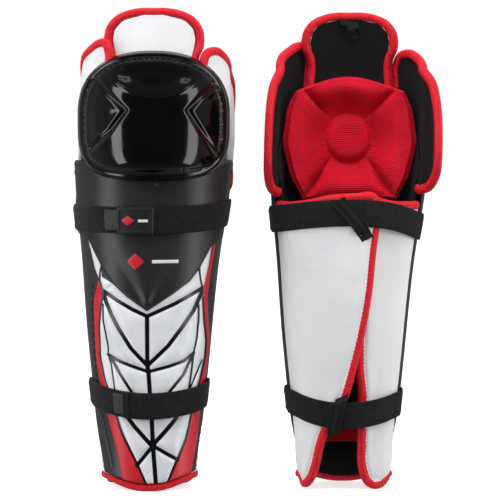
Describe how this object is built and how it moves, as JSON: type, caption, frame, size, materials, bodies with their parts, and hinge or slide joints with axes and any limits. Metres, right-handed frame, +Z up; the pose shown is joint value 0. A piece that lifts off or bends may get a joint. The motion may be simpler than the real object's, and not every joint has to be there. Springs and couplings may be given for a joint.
{
  "type": "pair of ice hockey shin guards",
  "caption": "Pair of shin guards with domed knee cups, hard shin shells, padded wrap-around calf flaps, thigh flaps and elastic straps.",
  "frame": {"origin": "on the floor under the middle of the pair's overall box", "axes": "+Z up along the shins; +X from the right guard to the left guard; the right guard's knee cup faces -Y and the left guard's faces +Y"},
  "size_m": [0.3632, 0.1962, 0.4767],
  "materials": {
    "shell_plastic": "satin",
    "cap_plastic": "high gloss",
    "shell_foam": "closed-cell foam",
    "black_lining": "brushed mesh",
    "white_fabric": "coated mesh",
    "red_cloth": "fine ribbed knit",
    "red_binding": "woven tape",
    "black_webbing": "elastic webbing",
    "keeper_tape": "woven tape",
    "loop_tape": "napped loop",
    "hook_tape": "hook tape",
    "badge_rubber": "satin",
    "rivet_plastic": "satin"
  },
  "bodies": {
    "right_guard": {"right_shin_shell": "shell_plastic", "right_shin_foam": "shell_foam", "right_shin_liner": "black_lining", "right_ankle_band": "red_cloth", "right_rim_binding": "red_binding", "right_strap_rivets": "rivet_plastic", "right_loop_patches": "loop_tape"},
    "right_calf_flap": {"right_calf_flap": "white_fabric", "right_calf_flap_binding": "red_binding", "right_calf_straps": "black_webbing", "right_strap_keepers": "keeper_tape"},
    "right_under_flap": {"right_under_flap": "white_fabric", "right_under_flap_binding": "red_binding"},
    "right_upper_strap": {"right_upper_strap_end": "black_webbing", "right_upper_strap_badge": "badge_rubber", "right_upper_strap_tab": "hook_tape"},
    "right_lower_strap": {"right_lower_strap_end": "black_webbing", "right_lower_strap_tab": "hook_tape"},
    "right_knee": {"right_knee_cap": "cap_plastic", "right_knee_foam": "shell_foam", "right_knee_pad": "red_cloth", "right_knee_pad_button": "red_cloth", "right_knee_panels": "white_fabric"},
    "right_thigh_flap": {"right_thigh_flap": "white_fabric", "right_thigh_flap_binding": "red_binding", "right_thigh_flap_tab": "keeper_tape"},
    "right_inner_wing": {"right_inner_wing": "white_fabric", "right_inner_wing_binding": "red_binding"},
    "right_outer_wing": {"right_outer_wing": "white_fabric", "right_outer_wing_binding": "red_binding"},
    "left_guard": {"left_shin_shell": "shell_plastic", "left_shin_foam": "shell_foam", "left_shin_liner": "black_lining", "left_ankle_band": "red_cloth", "left_rim_binding": "red_binding", "left_strap_rivets": "rivet_plastic", "left_loop_patches": "loop_tape"},
    "left_calf_flap": {"left_calf_flap": "white_fabric", "left_calf_flap_binding": "red_binding", "left_calf_straps": "black_webbing", "left_strap_keepers": "keeper_tape"},
    "left_under_flap": {"left_under_flap": "white_fabric", "left_under_flap_binding": "red_binding"},
    "left_upper_strap": {"left_upper_strap_end": "black_webbing", "left_upper_strap_badge": "badge_rubber", "left_upper_strap_tab": "hook_tape"},
    "left_lower_strap": {"left_lower_strap_end": "black_webbing", "left_lower_strap_tab": "hook_tape"},
    "left_knee": {"left_knee_cap": "cap_plastic", "left_knee_foam": "shell_foam", "left_knee_pad": "red_cloth", "left_knee_pad_button": "red_cloth", "left_knee_panels": "white_fabric"},
    "left_thigh_flap": {"left_thigh_flap": "white_fabric", "left_thigh_flap_binding": "red_binding", "left_thigh_flap_tab": "keeper_tape"},
    "left_inner_wing": {"left_inner_wing": "white_fabric", "left_inner_wing_binding": "red_binding"},
    "left_outer_wing": {"left_outer_wing": "white_fabric", "left_outer_wing_binding": "red_binding"}
  },
  "joints": [
    {"name": "right_calf_flap_hinge", "type": "hinge", "parent": "right_guard", "child": "right_calf_flap", "pos_m": [-0.1528, 0.00492, 0], "axis": [-0.0776, 0.0086, 0.9969], "range_deg": [0, 60]},
    {"name": "right_under_flap_hinge", "type": "hinge", "parent": "right_guard", "child": "right_under_flap", "pos_m": [-0.0607, 0.00492, 0], "axis": [-0.0997, -0.0086, -0.995], "range_deg": [0, 35]},
    {"name": "right_upper_strap_hinge", "type": "hinge", "parent": "right_calf_flap", "child": "right_upper_strap", "pos_m": [-0.02925, 0.00821, 0.27], "axis": [0, 0, 1], "range_deg": [0, 70]},
    {"name": "right_lower_strap_hinge", "type": "hinge", "parent": "right_calf_flap", "child": "right_lower_strap", "pos_m": [-0.04978, 0.00666, 0.092], "axis": [0, 0, 1], "range_deg": [0, 70]},
    {"name": "right_knee_rock", "type": "hinge", "parent": "right_guard", "child": "right_knee", "pos_m": [-0.10675, -0.01, 0.318], "axis": [1, 0, 0], "range_deg": [-5, 10], "stiffness_Nm_per_rad": 10},
    {"name": "right_thigh_flap_hinge", "type": "hinge", "parent": "right_knee", "child": "right_thigh_flap", "pos_m": [-0.10675, -0.056, 0.421], "axis": [1, 0, 0], "range_deg": [-40, 5], "stiffness_Nm_per_rad": 0.5},
    {"name": "right_inner_wing_hinge", "type": "hinge", "parent": "right_knee", "child": "right_inner_wing", "pos_m": [-0.1796, 0.0072, 0.3], "axis": [0.0254, 0, 0.9997], "range_deg": [-6, 54], "stiffness_Nm_per_rad": 0.1},
    {"name": "right_outer_wing_hinge", "type": "hinge", "parent": "right_knee", "child": "right_outer_wing", "pos_m": [-0.02654, 0.0072, 0.3], "axis": [-0.0254, 0, -0.9997], "range_deg": [-30, 30], "stiffness_Nm_per_rad": 0.1},
    {"name": "left_calf_flap_hinge", "type": "hinge", "parent": "left_guard", "child": "left_calf_flap", "pos_m": [0.0422, -0.00492, 0], "axis": [0.0776, 0.0086, -0.9969], "range_deg": [0, 60]},
    {"name": "left_under_flap_hinge", "type": "hinge", "parent": "left_guard", "child": "left_under_flap", "pos_m": [0.1343, -0.00492, 0], "axis": [0.0997, -0.0086, 0.995], "range_deg": [0, 35]},
    {"name": "left_upper_strap_hinge", "type": "hinge", "parent": "left_calf_flap", "child": "left_upper_strap", "pos_m": [0.16575, -0.00821, 0.27], "axis": [0, 0, -1], "range_deg": [0, 70]},
    {"name": "left_lower_strap_hinge", "type": "hinge", "parent": "left_calf_flap", "child": "left_lower_strap", "pos_m": [0.14522, -0.00666, 0.092], "axis": [0, 0, -1], "range_deg": [0, 70]},
    {"name": "left_knee_rock", "type": "hinge", "parent": "left_guard", "child": "left_knee", "pos_m": [0.08825, 0.01, 0.318], "axis": [-1, 0, 0], "range_deg": [-5, 10], "stiffness_Nm_per_rad": 10},
    {"name": "left_thigh_flap_hinge", "type": "hinge", "parent": "left_knee", "child": "left_thigh_flap", "pos_m": [0.08825, 0.056, 0.421], "axis": [-1, 0, 0], "range_deg": [-40, 5], "stiffness_Nm_per_rad": 0.5},
    {"name": "left_inner_wing_hinge", "type": "hinge", "parent": "left_knee", "child": "left_inner_wing", "pos_m": [0.0154, -0.0072, 0.3], "axis": [-0.0254, 0, -0.9997], "range_deg": [-42, 18], "stiffness_Nm_per_rad": 0.1},
    {"name": "left_outer_wing_hinge", "type": "hinge", "parent": "left_knee", "child": "left_outer_wing", "pos_m": [0.16846, -0.0072, 0.3], "axis": [0.0254, 0, 0.9997], "range_deg": [-50, 10], "stiffness_Nm_per_rad": 0.1},
    {"name": "pair_spacing", "type": "slide", "parent": "right_guard", "child": "left_guard", "axis": [1, 0, 0], "range_m": [0, 0.1]}
  ],
  "couplings": [
    {"joint": "right_under_flap_hinge", "follows": "right_calf_flap_hinge", "ratio": 0.5},
    {"joint": "right_upper_strap_hinge", "follows": "right_calf_flap_hinge", "ratio": 1.05},
    {"joint": "right_lower_strap_hinge", "follows": "right_calf_flap_hinge", "ratio": 1.05},
    {"joint": "left_under_flap_hinge", "follows": "left_calf_flap_hinge", "ratio": 0.5},
    {"joint": "left_upper_strap_hinge", "follows": "left_calf_flap_hinge", "ratio": 1.05},
    {"joint": "left_lower_strap_hinge", "follows": "left_calf_flap_hinge", "ratio": 1.05}
  ]
}
